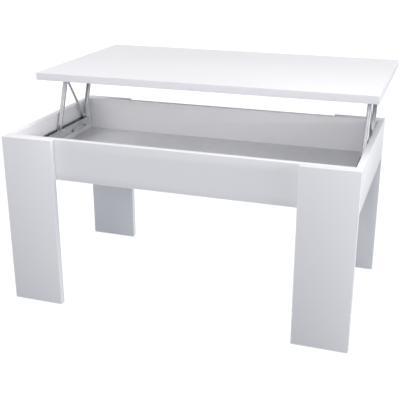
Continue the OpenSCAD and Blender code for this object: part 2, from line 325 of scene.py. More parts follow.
def combine(obj, other, operation):
    """Applies a Boolean with other, which is used up."""
    activate(obj)
    step = obj.modifiers.new("combine", "BOOLEAN")
    step.operation = operation
    step.solver = "EXACT"
    step.object = other
    bpy.ops.object.modifier_apply(modifier=step.name)
    bpy.data.objects.remove(other)
    tidy_mesh(obj)


def drill(obj, start, end, radius, steps=32):
    """A round hole from start to end."""
    start, end = Vector(start), Vector(end)
    clear_selection()
    bpy.ops.mesh.primitive_cylinder_add(
        vertices=steps, radius=radius, depth=(end - start).length, location=(start + end) / 2,
        rotation=UP.rotation_difference(end - start).to_euler())
    tool = bpy.context.active_object
    apply_place(tool)
    combine(obj, tool, "DIFFERENCE")


def soften(obj, width, segments=2, angle=40):
    """Rounds the sharp edges with an applied bevel."""
    activate(obj)
    step = obj.modifiers.new("soften", "BEVEL")
    step.width = width
    step.segments = segments
    step.limit_method = "ANGLE"
    step.angle_limit = math.radians(angle)
    step.use_clamp_overlap = False
    bpy.ops.object.modifier_apply(modifier=step.name)
    tidy_mesh(obj)


def placed(obj, matrix):
    obj.matrix_world = matrix
    apply_place(obj)
    return obj


def copy_of(obj, name):
    activate(obj)
    bpy.ops.object.duplicate()
    return rename(bpy.context.active_object, name)


def mirrored(obj, name):
    """A copy on the other side of the table."""
    twin = copy_of(obj, name)
    twin.scale.x = -1
    apply_place(twin)
    tidy_mesh(twin)
    return twin


def joined(name, pieces):
    activate(pieces[0])
    for piece in pieces:
        piece.select_set(True)
    bpy.ops.object.join()
    return rename(pieces[0], name)


def repeated(name, master, matrices):
    """One piece of several copies of master, which is used up."""
    copies = [placed(copy_of(master, name), matrix) for matrix in matrices]
    bpy.data.objects.remove(master)
    return joined(name, copies)


def turned_to(axis, place, sign):
    """Turns a piece that stands on Z so that it points along an axis, and moves it to place."""
    angle, about = ((sign * math.pi / 2, "Y"), (-sign * math.pi / 2, "X"),
                    (0 if sign > 0 else math.pi, "X"))[axis]
    return Matrix.Translation(place) @ Matrix.Rotation(angle, 4, about)


def stands(node, axis, way, at_tip, back=0.0):
    """Where turned pieces stand, one on each solid of a CAD node.

    A piece points along axis. At way 1 that is up or away from the table's middle, and at
    -1 down or towards it. It starts at the far end of its solid, a little back from there,
    when at_tip is true, and otherwise at the near end.
    """
    places = []
    for box in solids(node):
        place = middle(box)
        sign = way if axis == 2 or place[axis] > 0 else -way
        end = box[1] if at_tip == (sign > 0) else box[0]
        place[axis] = end[axis] - sign * back
        places.append(turned_to(axis, place, sign))
    return places


def hand_over(obj, body, slot, *nodes):
    """Finishes a piece: smooth shading, material, body and the CAD nodes that it stands for."""
    activate(obj)
    bpy.ops.object.shade_smooth_by_angle(angle=math.radians(35))
    obj.data.materials.clear()
    obj.data.materials.append(finish(slot))
    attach(obj, body)
    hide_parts(*nodes)


# ---- shared shader groups ----

def group(name, label, default, *outputs):
    """A shader node group with one number going in. Returns it and its two end nodes."""
    tree = bpy.data.node_groups.new(name, "ShaderNodeTree")
    socket = tree.interface.new_socket(label, in_out="INPUT", socket_type="NodeSocketFloat")
    socket.default_value = default
    for output in outputs:
        tree.interface.new_socket(output, in_out="OUTPUT", socket_type="NodeSocketFloat")
    return tree, tree.nodes.new("NodeGroupInput"), tree.nodes.new("NodeGroupOutput")


def feed(tree, socket, value):
    """Links value to a socket if it is another node's output, and otherwise sets it."""
    if isinstance(value, bpy.types.NodeSocket):
        tree.links.new(value, socket)
    elif socket.type == "RGBA":
        socket.default_value = (*value, 1)
    else:
        socket.default_value = value


def maths(tree, operation, a, b):
    node = tree.nodes.new("ShaderNodeMath")
    node.operation = operation
    feed(tree, node.inputs[0], a)
    feed(tree, node.inputs[1], b)
    return node.outputs[0]


def remap(tree, value, low, high, start=0.0, end=1.0):
    """A Map Range node from low..high to start..end, clamped."""
    node = tree.nodes.new("ShaderNodeMapRange")
    labels = ("Value", "From Min", "From Max", "To Min", "To Max")
    for label, number in zip(labels, (value, low, high, start, end)):
        feed(tree, node.inputs[label], number)
    return node.outputs[0]


def noise(tree, vector, scale, detail=3.0, roughness=0.5):
    node = tree.nodes.new("ShaderNodeTexNoise")
    labels = ("Vector", "Scale", "Detail", "Roughness")
    for label, value in zip(labels, (vector, scale, detail, roughness)):
        feed(tree, node.inputs[label], value)
    return node.outputs["Fac"]


def cells(tree, vector, scale, feature="F1"):
    node = tree.nodes.new("ShaderNodeTexVoronoi")
    node.feature = feature
    feed(tree, node.inputs["Vector"], vector)
    feed(tree, node.inputs["Scale"], scale)
    return node


def object_place(tree):
    return tree.nodes.new("ShaderNodeTexCoord").outputs["Object"]


def stretched(tree, vector, scale):
    node = tree.nodes.new("ShaderNodeMapping")
    node.inputs["Scale"].default_value = scale
    tree.links.new(vector, node.inputs["Vector"])
    return node.outputs["Vector"]


def make_pearl_group():
    """Fine pearl texture of foil and lacquer: Height for the bump, Cloud for slow changes."""
    tree, start, end = group("Pearl Texture", "Grain", 900.0, "Height", "Cloud")
    here = object_place(tree)
    fine = noise(tree, here, start.outputs["Grain"], 2.0)
    pits = cells(tree, here, start.outputs["Grain"], "SMOOTH_F1")
    height = maths(tree, "ADD", maths(tree, "MULTIPLY", fine, 0.6),
                   maths(tree, "MULTIPLY", pits.outputs["Distance"], 0.4))
    tree.links.new(height, end.inputs["Height"])
    cloud = remap(tree, noise(tree, here, 7.0, 5.0, 0.6), 0.3, 0.7)
    tree.links.new(cloud, end.inputs["Cloud"])


def make_rolled_group():
    """Rolled and zinc plated sheet: streaks along Y, small crystals and slow stains."""
    tree, start, end = group("Rolled Sheet", "Crystal", 260.0,
                             "Height", "Crystal", "Stain")
    here = object_place(tree)
    streak = noise(tree, stretched(tree, here, (1.0, 0.03, 1.0)), 1500.0)
    crystals = cells(tree, here, start.outputs["Crystal"])
    tone = tree.nodes.new("ShaderNodeSeparateColor")
    tree.links.new(crystals.outputs["Color"], tone.inputs["Color"])
    stain = remap(tree, noise(tree, here, 28.0, 6.0, 0.65), 0.35, 0.7)
    tree.links.new(streak, end.inputs["Height"])
    tree.links.new(tone.outputs["Red"], end.inputs["Crystal"])
    tree.links.new(stain, end.inputs["Stain"])


def make_moulded_group():
    """Fine grain of moulded plastic and phosphated steel, with scuffs along Y."""
    tree, start, end = group("Moulded Texture", "Grain", 2200.0, "Height", "Scuff")
    here = object_place(tree)
    tree.links.new(noise(tree, here, start.outputs["Grain"], 4.0), end.inputs["Height"])
    rubbed = noise(tree, stretched(tree, here, (1.0, 0.25, 1.0)), 420.0, 6.0, 0.7)
    tree.links.new(remap(tree, rubbed, 0.52, 0.72), end.inputs["Scuff"])


def make_dust_group():
    """Faint dust on what faces up."""
    tree, start, end = group("Dust", "Amount", 1.0, "Mask")
    where = tree.nodes.new("ShaderNodeNewGeometry")
    split = tree.nodes.new("ShaderNodeSeparateXYZ")
    tree.links.new(where.outputs["Normal"], split.inputs["Vector"])
    facing = remap(tree, split.outputs["Z"], 0.6, 1.0)
    cloud = remap(tree, noise(tree, object_place(tree), 45.0, 8.0, 0.7), 0.4, 0.75)
    mask = maths(tree, "MULTIPLY", maths(tree, "MULTIPLY", facing, cloud),
                 start.outputs["Amount"])
    tree.links.new(mask, end.inputs["Mask"])


GROUPS = {"Pearl Texture": make_pearl_group, "Rolled Sheet": make_rolled_group,
          "Moulded Texture": make_moulded_group, "Dust": make_dust_group}


def put_group(tree, name, **values):
    """Places a shared group, which is built at its first use, with its own values."""
    if name not in bpy.data.node_groups:
        GROUPS[name]()
    node = tree.nodes.new("ShaderNodeGroup")
    node.node_tree = bpy.data.node_groups[name]
    for key, value in values.items():
        node.inputs[key.title()].default_value = value
    return node


# ---- materials ----

def new_material(name):
    """A material with one Principled shader. Returns its tree and the shader."""
    material = bpy.data.materials.new(name)
    material.use_nodes = True
    tree = material.node_tree
    return tree, tree.nodes["Principled BSDF"]


def tint(tree, shader, base, mask, other):
    """Mixes base, a colour or a node's output, towards other by mask, as the base colour."""
    mix = tree.nodes.new("ShaderNodeMix")
    mix.data_type = "RGBA"
    tree.links.new(mask, mix.inputs["Factor"])
    feed(tree, mix.inputs[6], base)
    feed(tree, mix.inputs[7], other)
    tree.links.new(mix.outputs[2], shader.inputs["Base Color"])
    return mix.outputs[2]


def roughen(tree, shader, mask, rough, low=0.0, high=1.0):
    """Lets mask, from low to high, set the roughness between the two values of rough."""
    tree.links.new(remap(tree, mask, low, high, *rough), shader.inputs["Roughness"])


def bump(tree, shader, height, strength, distance):
    node = tree.nodes.new("ShaderNodeBump")
    node.inputs["Strength"].default_value = strength
    node.inputs["Distance"].default_value = distance
    tree.links.new(height, node.inputs["Height"])
    tree.links.new(node.outputs["Normal"], shader.inputs["Normal"])


def shade(colour, factor):
    return tuple(c * factor for c in colour)


def melamine(tree, shader):
    """White foil. The edging is a little glossier and its seam shows as a fine line."""
    pearl = put_group(tree, "Pearl Texture", grain=750.0)
    dust = put_group(tree, "Dust", amount=0.10)
    band = tree.nodes.new("ShaderNodeAttribute")
    band.attribute_name = "band"
    base = finishes().board
    colour = tint(tree, shader, base, pearl.outputs["Cloud"], shade(base, 0.985))
    colour = tint(tree, shader, colour, band.outputs["Fac"], finishes().edging)
    tint(tree, shader, colour, dust.outputs["Mask"], (0.60, 0.59, 0.57))
    cloudy = remap(tree, pearl.outputs["Cloud"], 0, 1, 0.40, 0.47)
    glossier = remap(tree, band.outputs["Fac"], 0, 1, 0.0, -0.10)
    tree.links.new(maths(tree, "ADD", cloudy, glossier), shader.inputs["Roughness"])
    bump(tree, shader, pearl.outputs["Height"], 0.10, 0.05 * MM)


def strip_plastic(tree, shader):
    """White plastic edging with the fine draw lines of its extrusion."""
    pearl = put_group(tree, "Pearl Texture", grain=1200.0)
    base = finishes().edging
    tint(tree, shader, base, pearl.outputs["Cloud"], shade(base, 0.98))
    roughen(tree, shader, pearl.outputs["Cloud"], (0.30, 0.38))
    along = stretched(tree, object_place(tree), (0.02, 0.02, 1.0))
    bump(tree, shader, noise(tree, along, 2600.0, 2.0), 0.15, 0.03 * MM)


def lacquer(tree, shader):
    """Roller coated hardboard: a soft orange peel."""
    pearl = put_group(tree, "Pearl Texture", grain=320.0)
    dust = put_group(tree, "Dust", amount=0.22)
    base = finishes().lacquer
    colour = tint(tree, shader, base, pearl.outputs["Cloud"], shade(base, 0.97))
    tint(tree, shader, colour, dust.outputs["Mask"], (0.58, 0.57, 0.55))
    roughen(tree, shader, pearl.outputs["Cloud"], (0.36, 0.50))
    bump(tree, shader, pearl.outputs["Height"], 0.18, 0.12 * MM)


def zinc(tree, shader, base, rough, crystal):
    """Zinc plated steel: rolling streaks, small crystals, and duller stains."""
    shader.inputs["Metallic"].default_value = 1.0
    sheet = put_group(tree, "Rolled Sheet", crystal=crystal)
    colour = tint(tree, shader, base, sheet.outputs["Crystal"], shade(base, 0.93))
    tint(tree, shader, colour, sheet.outputs["Stain"], shade(base, 0.80))
    roughen(tree, shader, sheet.outputs["Stain"], rough)
    bump(tree, shader, sheet.outputs["Height"], 0.25, 0.02 * MM)


def sheet_steel(tree, shader):
    zinc(tree, shader, finishes().steel, (0.42, 0.54), 260.0)


def pin_steel(tree, shader):
    zinc(tree, shader, (0.64, 0.65, 0.67), (0.18, 0.32), 900.0)


def screw_steel(tree, shader):
    zinc(tree, shader, (0.62, 0.62, 0.60), (0.24, 0.40), 700.0)


def strut_steel(tree, shader):
    """Dark phosphated steel of the struts, brighter and smoother where it is scuffed."""
    shader.inputs["Metallic"].default_value = 0.85
    grain = put_group(tree, "Moulded Texture", grain=1500.0)
    base = finishes().dark
    tint(tree, shader, base, grain.outputs["Scuff"], shade(base, 1.5))
    roughen(tree, shader, grain.outputs["Scuff"], (0.48, 0.34))
    bump(tree, shader, grain.outputs["Height"], 0.2, 0.03 * MM)


def moulded(tree, shader, fineness, base, scuffed, rough):
    """A moulded plastic with scuffs of another colour. Returns the height of its grain."""
    grain = put_group(tree, "Moulded Texture", grain=fineness)
    tint(tree, shader, base, grain.outputs["Scuff"], scuffed)
    roughen(tree, shader, grain.outputs["Height"], rough, 0.3, 0.7)
    return grain.outputs["Height"]


def nylon(tree, shader):
    base = finishes().nylon
    grain = moulded(tree, shader, 2400.0, base, shade(base, 2.6), (0.45, 0.62))
    bump(tree, shader, grain, 0.35, 0.05 * MM)


def cap_plastic(tree, shader):
    base = finishes().board
    grain = moulded(tree, shader, 2000.0, base, shade(base, 0.95), (0.38, 0.50))
    bump(tree, shader, grain, 0.2, 0.03 * MM)


def clear_polymer(tree, shader):
    moulded(tree, shader, 900.0, (0.92, 0.93, 0.93), (0.80, 0.81, 0.80), (0.12, 0.24))
    shader.inputs["Transmission Weight"].default_value = 0.85
    shader.inputs["IOR"].default_value = 1.47


# Each slot's material and what builds its nodes.
FINISHES = {
    "white_board": ("White Melamine", melamine),
    "edging": ("White Edging", strip_plastic),
    "floor_board": ("White Lacquer", lacquer),
    "pressed_steel": ("Zinc Plated Sheet", sheet_steel),
    "pin_steel": ("Turned Steel", pin_steel),
    "zinc_screw": ("Zinc Screws", screw_steel),
    "dark_steel": ("Phosphated Steel", strut_steel),
    "black_plastic": ("Black Nylon", nylon),
    "white_plastic": ("White Plastic", cap_plastic),
    "clear_rubber": ("Clear Bumper", clear_polymer),
}


def finish(slot):
    """The material of a slot, built at its first use."""
    name, build = FINISHES[slot]
    if name not in bpy.data.materials:
        build(*new_material(name))
    return bpy.data.materials[name]


# ---- boards ----

def panel(name, low, high, thin, arris=None):
    """A board with softened edges. Across its thin axis the edging shows as a band.

    The band's faces carry the value 1 in the attribute that the material reads.
    """
    size = boards()
    obj = block(name, low, high)
    open_mesh(obj, "EDGE")
    bpy.ops.mesh.select_all(action="SELECT")
    bpy.ops.mesh.bevel(offset=size.arris if arris is None else arris, segments=3, affect="EDGES")
    pick_faces(lambda at, normal: abs(normal[thin]) > 0.999)
    bpy.ops.mesh.inset(thickness=size.band, depth=0, use_individual=True)
    bpy.ops.mesh.inset(thickness=size.seam, depth=-0.6 * size.seam, use_individual=True)
    bpy.ops.mesh.inset(thickness=size.seam, depth=0.6 * size.seam, use_individual=True)
    close_mesh()
    mark_band(obj)
    return obj


def mark_band(obj):
    """Everything but the two large faces that are selected now is edging."""
    band = obj.data.attributes.new("band", "FLOAT", "FACE")
    for face in obj.data.polygons:
        band.data[face.index].value = 0.0 if face.select else 1.0
    for face in obj.data.polygons:
        face.select = False


class TABLE_OT_legs(Operator):
    """Four leg boards, with blind holes for the screws and the glides"""
    bl_idname = "table.legs"
    bl_label = "Legs"

    def execute(self, context):
        for end in ("front", "rear"):
            for side in SIDES:
                node = f"leg_{end}_{side}"
                low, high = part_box(node)
                leg = panel(f"leg_board_{end}_{side}", low, high, 1)
                for place in middles("leg_screws"):
                    if low.x < place.x < high.x and place.y * middle((low, high)).y > 0:
                        inner = low.y if place.y > 0 else high.y
                        depth = math.copysign(13 * MM, place.y)
                        drill(leg, (place.x, inner - depth / 2, place.z),
                              (place.x, inner + depth, place.z), PILOT_HOLE, 16)
                for place in middles("floor_glides"):
                    if low.x < place.x < high.x and low.y < place.y < high.y:
                        drill(leg, (place.x, place.y, low.z - PAST),
                              (place.x, place.y, low.z + 13 * MM), NAIL_HOLE, 12)
                hand_over(leg, "box", "white_board", node)
        return {"FINISHED"}


def cut_groove(board, axis, sign, inner, low, high):
    """Cuts the storage floor's groove into a board, on its inner face.

    low and high are the ends of the groove along the board.
    """
    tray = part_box("storage_floor")
    reach = tray[1 if sign > 0 else 0][axis]
    near, far = sorted((inner - sign * PAST, reach + sign * 0.3 * MM))
    ends = [[0, 0, tray[0].z - PLAY], [0, 0, tray[1].z + PLAY]]
    for corner, across, along in zip(ends, (near, far), (low, high)):
        corner[axis], corner[1 - axis] = across, along
    combine(board, block("groove", *ends), "DIFFERENCE")


class TABLE_OT_aprons(Operator):
    """Front and rear apron, with the floor's groove and the recesses of the screw caps"""
    bl_idname = "table.aprons"
    bl_label = "Aprons"

    def execute(self, context):
        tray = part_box("storage_floor")
        for end, sign in (("front", -1), ("rear", 1)):
            low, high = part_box(f"apron_{end}")
            apron = panel(f"apron_board_{end}", low, high, 1)
            inner = low.y if sign > 0 else high.y
            cut_groove(apron, 1, sign, inner, tray[0].x - PLAY, tray[1].x + PLAY)
            for box in solids("leg_screw_caps"):
                place = middle(box)
                if place.y * sign > 0:
                    start = (place.x, inner - sign * PAST, place.z)
                    seat = box[1].y if sign > 0 else box[0].y
                    through = inner + sign * 30 * MM
                    drill(apron, start, (place.x, seat, place.z), CAP_RECESS, 40)
                    drill(apron, start, (place.x, through, place.z), PILOT_HOLE, 16)
            hand_over(apron, "box", "white_board", f"apron_{end}")
        return {"FINISHED"}


class TABLE_OT_end_panels(Operator):
    """Left and right end panel between the aprons, grooved for the floor"""
    bl_idname = "table.end_panels"
    bl_label = "End Panels"

    def execute(self, context):
        for side, sign in (("left", -1), ("right", 1)):
            low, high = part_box(f"end_panel_{side}")
            end_panel = panel(f"end_board_{side}", low, high, 0)
            inner = low.x if sign > 0 else high.x
            cut_groove(end_panel, 0, sign, inner, low.y - PAST, high.y + PAST)
            hand_over(end_panel, "box", "white_board", f"end_panel_{side}")
        return {"FINISHED"}


class TABLE_OT_storage_floor(Operator):
    """Thin lacquered floor of the storage space"""
    bl_idname = "table.storage_floor"
    bl_label = "Storage Floor"

    def execute(self, context):
        low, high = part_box("storage_floor")
        tray = panel("storage_floor_board", low, high, 2, arris=0.4 * MM)
        hand_over(tray, "box", "floor_board", "storage_floor")
        return {"FINISHED"}


class TABLE_OT_tabletop(Operator):
    """The lifting top: the board and the four strips of edging round it"""
    bl_idname = "table.tabletop"
    bl_label = "Top"

    def execute(self, context):
        low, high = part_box("tabletop")
        top = panel("tabletop_board", low, high, 2, arris=0.15 * MM)
        for place in middles("top_channel_screws"):
            drill(top, (place.x, place.y, low.z - PAST),
                  (place.x, place.y, low.z + 13.5 * MM), PILOT_HOLE, 16)
        hand_over(top, "top", "white_board", "tabletop")

        low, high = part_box("tabletop_edging")
        core_low, core_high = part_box("tabletop")
        thick = core_low.x - low.x
        strips = []
        for near, far, sign in ((low, core_low, -1), (core_high, high, 1)):
            strips.append(edge_strip((low.x, near.y, low.z), (high.x, far.y, high.z), 1, sign))
            strips.append(edge_strip((near.x, low.y + thick, low.z),
                                     (far.x, high.y - thick, high.z), 0, sign))
        edging = joined("tabletop_edge_strips", strips)
        hand_over(edging, "top", "edging", "tabletop_edging")
        return {"FINISHED"}


def edge_strip(low, high, axis, sign):
    """One strip of edging, rounded on its two outer edges and hardly on the inner ones."""
    strip = block("strip", low, high)
    outer = high[axis] if sign > 0 else low[axis]
    open_mesh(strip, "EDGE")
    pick_edges(lambda a, b: abs(a[axis] - outer) < 1e-6 and abs(b[axis] - outer) < 1e-6)
    bpy.ops.mesh.bevel(offset=boards().arris, segments=4, affect="EDGES")
    close_mesh()
    return strip


# ---- fastenings ----

def thread(length, top=0.0, shank=2.0, core=1.35, pitch=1.6, tip=3.0):
    """Profile of a wood screw's shank from its tip, at -length, up to top."""
    points = [(0, -length), (core * 0.5, -length + tip * 0.5), (core, -length + tip)]
    z = -length + tip
    while z + pitch < top - 0.5:
        points += [(core, z + pitch * 0.3), (shank, z + pitch * 0.5), (core, z + pitch * 0.7)]
        z += pitch
    return points + [(core, top - 0.4)]


def cross_recess(obj, top, span=4.2, slot=0.95, depth=1.3):
    """A cross recess cut down from a head's top, tapered towards its bottom."""
    for turn in (0, 1):
        half = (span / 2 * MM, slot / 2 * MM)
        x, y = half if turn == 0 else half[::-1]
        tool = block("recess", (-x, -y, (top - depth) * MM), (x, y, (top + 1) * MM))
        open_mesh(tool, "FACE")
        pick_faces(lambda at, normal: normal.z < -0.9)
        bpy.ops.transform.resize(value=(0.55, 0.75, 1) if turn == 0 else (0.75, 0.55, 1),
                                 center_override=(0, 0, (top - depth) * MM))
        close_mesh()
        combine(obj, tool, "DIFFERENCE")


def pan_screw(name, length):
    """A pan head wood screw that stands on Z, its head's underside at 0."""
    head = [(2.0, -0.2), (2.0, 0), (3.6, 0), (3.8, 0.2), (3.8, 0.7), (3.55, 1.25), (3.0, 1.65),
            (2.2, 1.88), (1.2, 1.98), (0, 2.0)]
    screw = turned(name, thread(length, 0, 2.0) + head, 28)
    cross_recess(screw, 2.0)
    return screw


class TABLE_OT_channel_screws(Operator):
    """Pan head screws of the channels, with cross recesses and threads"""
    bl_idname = "table.channel_screws"
    bl_label = "Channel Screws"

    def execute(self, context):
        head = 2 * MM
        for level, body, axis, length in (("base", "box", 0, 13.4), ("top", "top", 2, 13.9)):
            node = f"{level}_channel_screws"
            screws = repeated(f"{level}_channel_pan_screws", pan_screw("pan_screw", length),
                              stands(node, axis, -1, True, head))
            hand_over(screws, body, "zinc_screw", node)
        return {"FINISHED"}


class TABLE_OT_board_screws(Operator):
    """Countersunk leg screws with their white caps, and the long corner screws"""
    bl_idname = "table.board_screws"
    bl_label = "Board Screws"

    def execute(self, context):
        sunk = thread(27, -2.6) + [(2.0, -2.5), (4.0, 0), (0, 0)]
        master = turned("leg_screw", sunk, 28)
        cross_recess(master, 0, 4.0, 0.9, 1.6)
        screws = repeated("leg_wood_screws", master, stands("leg_screws", 1, -1, True))
        hand_over(screws, "box", "zinc_screw", "leg_screws")

        cap = [(0, 0), (5.4, 0), (5.5, 0.1), (5.5, 1.05), (5.42, 1.2), (5.1, 1.31), (4.0, 1.38),
               (0, 1.4)]
        caps = repeated("leg_screw_cover_caps", turned("cap", cap, 40),
                        stands("leg_screw_caps", 1, -1, False))
        hand_over(caps, "box", "white_plastic", "leg_screw_caps")

        headless = thread(49.4, -0.4, 2.5, 1.8, 2.0) + [(2.4, -0.3), (2.4, 0), (0, 0)]
        screws = repeated("corner_wood_screws", turned("corner_screw", headless, 24),
                          stands("corner_screws", 1, 1, True, 0.3 * MM))
        hand_over(screws, "box", "zinc_screw", "corner_screws")
        return {"FINISHED"}


class TABLE_OT_glides(Operator):
    """Nail on glides with rounded edges, two under each leg"""
    bl_idname = "table.glides"
    bl_label = "Glides"

    def execute(self, context):
        profile = [(0, 0), (4.6, 0), (5.3, 0.12), (5.8, 0.45), (6.0, 0.9), (6.0, 1.35),
                   (5.85, 1.5), (1.0, 1.5), (1.0, 11.5), (0, 13.5)]
        glides = repeated("leg_glides", turned("glide", profile),
                          stands("floor_glides", 2, 1, False))
        hand_over(glides, "box", "black_plastic", "floor_glides")
        return {"FINISHED"}


class TABLE_OT_bumpers(Operator):
    """Clear domed dots under the top"""
    bl_idname = "table.bumpers"
    bl_label = "Bumpers"

    def execute(self, context):
        profile = [(0, 0), (3.85, 0), (4.0, 0.12), (3.95, 0.32), (3.6, 0.58), (2.8, 0.78),
                   (1.6, 0.88), (0, 0.9)]
        dots = repeated("clear_bumper_dots", turned("dot", profile),
                        stands("top_bumpers", 2, -1, False))
        hand_over(dots, "top", "clear_rubber", "top_bumpers")
        return {"FINISHED"}


# ---- pressed steel ----

def u_section(width, height, thick, bend):
    """Outline of a U that is open upwards, its web at height 0."""
    half, inside, inner = width / 2, width / 2 - thick, bend - thick
    return ([(-half, height)]
            + arc(bend - half, bend, bend, 180, 270) + arc(half - bend, bend, bend, 270, 360)
            + [(half, height), (inside, height)]
            + arc(inside - inner, thick + inner, inner, 360, 270, 4)
            + arc(inner - inside, thick + inner, inner, 270, 180, 4)
            + [(-inside, height)])


def pressed_channel(level, web):
    """The left channel's plain U, with its web below at web 1 and above at -1."""
    low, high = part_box(f"{level}_channel_left")
    base = low.z if web > 0 else high.z
    outline = [(middle((low, high)).x + u, low.y, base + web * v)
               for u, v in u_section(high.x - low.x, high.z - low.z, SHEET, pressings().bend)]
    channel = slab(f"{level}_channel_pressing_left", outline, (0, high.y - low.y, 0))
    return channel, low, high


def trim_channel(channel, low, high, shape):
    """Cuts a shape of (y, z) points through both flanges."""
    tool = slab("trim", [(low.x - FAR, y, z) for y, z in shape],
                (high.x - low.x + 2 * FAR, 0, 0))
    combine(channel, tool, "DIFFERENCE")


def finish_channels(channel, level, body):
    """Smooths the left channel's edges, and adds the right channel as its mirror image."""
    soften(channel, pressings().burr)
    twin = mirrored(channel, f"{level}_channel_pressing_right")
    for side, piece in zip(SIDES, (channel, twin)):
        hand_over(piece, body, "pressed_steel", f"{level}_channel_{side}")


def drill_pins(channel, low, high, pins):
    for pin in pins:
        drill(channel, (low.x - FAR, pin.y, pin.z), (high.x + FAR, pin.y, pin.z), PIN_HOLE)


class TABLE_OT_base_channels(Operator):
    """Pressed channels on the end panels, with lugs, pin holes and access holes"""
    bl_idname = "table.base_channels"
    bl_label = "Base Channels"

    def execute(self, context):
        channel, low, high = pressed_channel("base", 1)
        pins = LOWER_PINS[:2]
        lug = high.z - pins[0].z - 0.02 * MM
        edge = pins[0].z + FLANGE_RISE
        rise = math.degrees(math.asin((edge - pins[0].z) / lug))
        round_end = 3 * MM
        line = arc(low.y + round_end, edge - round_end, round_end, 180, 90)
        for pin in pins:
            line += arc(pin.y, pin.z, lug, 180 - rise, rise, 14)
        line += arc(high.y - round_end, edge - round_end, round_end, 90, 0)
        trim_channel(channel, low, high,
                     [(low.y - FAR, edge - round_end)] + line
                     + [(high.y + FAR, edge - round_end), (high.y + FAR, edge + FAR),
                        (low.y - FAR, edge + FAR)])
        drill_pins(channel, low, high, pins)
        for place in middles("base_channel_screws"):
            if place.x < 0:
                drill(channel, (low.x - FAR, place.y, place.z),
                      (low.x + PAST, place.y, place.z), SCREW_HOLE, 20)
                drill(channel, (high.x - PAST, place.y, place.z),
                      (high.x + FAR, place.y, place.z), ACCESS_HOLE, 36)
        finish_channels(channel, "base", "box")
        return {"FINISHED"}


class TABLE_OT_top_channels(Operator):
    """Pressed channels under the top, open downwards"""
    bl_idname = "table.top_channels"
    bl_label = "Top Channels"

    def execute(self, context):
        channel, low, high = pressed_channel("top", -1)
        round_end = 5 * MM
        for sign, y in ((1, low.y), (-1, high.y)):
            curve = [(y + sign * u, low.z + v)
                     for u, v in arc(round_end, round_end, round_end, 180, 270, 8)]
            trim_channel(channel, low, high,
                         curve + [(y + sign * round_end, low.z - FAR),
                                  (y - sign * FAR, low.z - FAR),
                                  (y - sign * FAR, low.z + round_end)])
        drill_pins(channel, low, high, UPPER_PINS[:2])
        for place in middles("top_channel_screws"):
            if place.x < 0:
                drill(channel, (place.x, place.y, high.z - PAST),
                      (place.x, place.y, high.z + FAR), SCREW_HOLE, 20)
        finish_channels(channel, "top", "top")
        return {"FINISHED"}


def arm(name, web):
    """An arm that stands on its lower pivot: a U with round ears and a rib in its web.

    At web -1 the web faces the front, and at 1 it faces the rear.
    """
    width, depth, thick, ear = 11 * MM, 8 * MM, SHEET, 5.5 * MM
    start, length = 15 * MM, ARM_LENGTH
    outline = [(u, web * (depth / 2 - v), start)
               for u, v in u_section(width, depth, thick, pressings().bend)]
    obj = slab(name, outline, (0, 0, length - 2 * start))
    open_mesh(obj, "FACE")
    outer, inner = web * depth / 2, web * (depth / 2 - thick)
    rib = pressings().rib
    for plane, sign in ((outer, -1), (inner, 1)):
        pick_faces(lambda at, normal: abs(at.y - plane) < 1e-6 and abs(normal.y) > 0.99
                   and abs(at.x) < MM)
        bpy.ops.mesh.inset(thickness=1.0 * MM if sign < 0 else 0.55 * MM, depth=0)
        bpy.ops.mesh.inset(thickness=0.5 * MM, depth=sign * rib)
    close_mesh()
    turn = math.degrees(math.acos(depth / 2 / ear))
    foot = arc(0, 0, ear, turn, -180 - turn, 22)
    for low_end in (True, False):
        shape = [(depth / 2, start)] + foot + [(-depth / 2, start)]
        if not low_end:
            shape = [(y, length - z) for y, z in shape]
        for x in (-width / 2, width / 2 - thick):
            combine(obj, slab("ear", [(x, y, z) for y, z in shape], (thick, 0, 0)), "UNION")
    for z in (0, length):
        drill(obj, (-width, 0, z), (width, 0, z), PIN_HOLE)
    soften(obj, pressings().burr)
    return obj


class TABLE_OT_arms(Operator):
    """Front and rear lift arms"""
    bl_idname = "table.arms"
    bl_label = "Arms"

    def execute(self, context):
        for end, web, index in (("front", -1, 0), ("rear", 1, 1)):
            master = arm(f"{end}_arm_master", web)
            for side, x in (("left", ARM_PLANE), ("right", -ARM_PLANE)):
                pin = LOWER_PINS[index]
                stand = Matrix.Translation((x, pin.y, pin.z)) @ Matrix.Rotation(-ARM_LEAN, 4, "X")
                piece = placed(copy_of(master, f"{end}_arm_pressing_{side}"), stand)
                hand_over(piece, f"{end}_arm_{side}", "pressed_steel", f"{end}_arm_{side}")
            bpy.data.objects.remove(master)
        return {"FINISHED"}


class TABLE_OT_pins(Operator):
    """Headed pivot pins"""
    bl_idname = "table.pins"
    bl_label = "Pivot Pins"

    def execute(self, context):
        for level, body in (("lower", "box"), ("upper", "top")):
            node = f"{level}_pivot_pins"
            low, high = solids(node)[0]
            length = (high.x - low.x) / MM
            head = [(3.0, 1.5), (4.8, 1.5), (5.0, 1.3), (5.0, 0.95), (4.7, 0.55), (3.9, 0.2),
                    (2.6, 0.03), (2.3, 0), (1.6, 0.25), (0, 0.35)]
            profile = ([(0, 0), (2.2, 0), (2.8, 0.25), (3.0, 0.7)]
                       + [(r, length - below) for r, below in head])
            pins = repeated(f"{level}_headed_pins", turned("pin", profile, 36),
                            stands(node, 0, -1, False))
            hand_over(pins, body, "pin_steel", node)
        return {"FINISHED"}


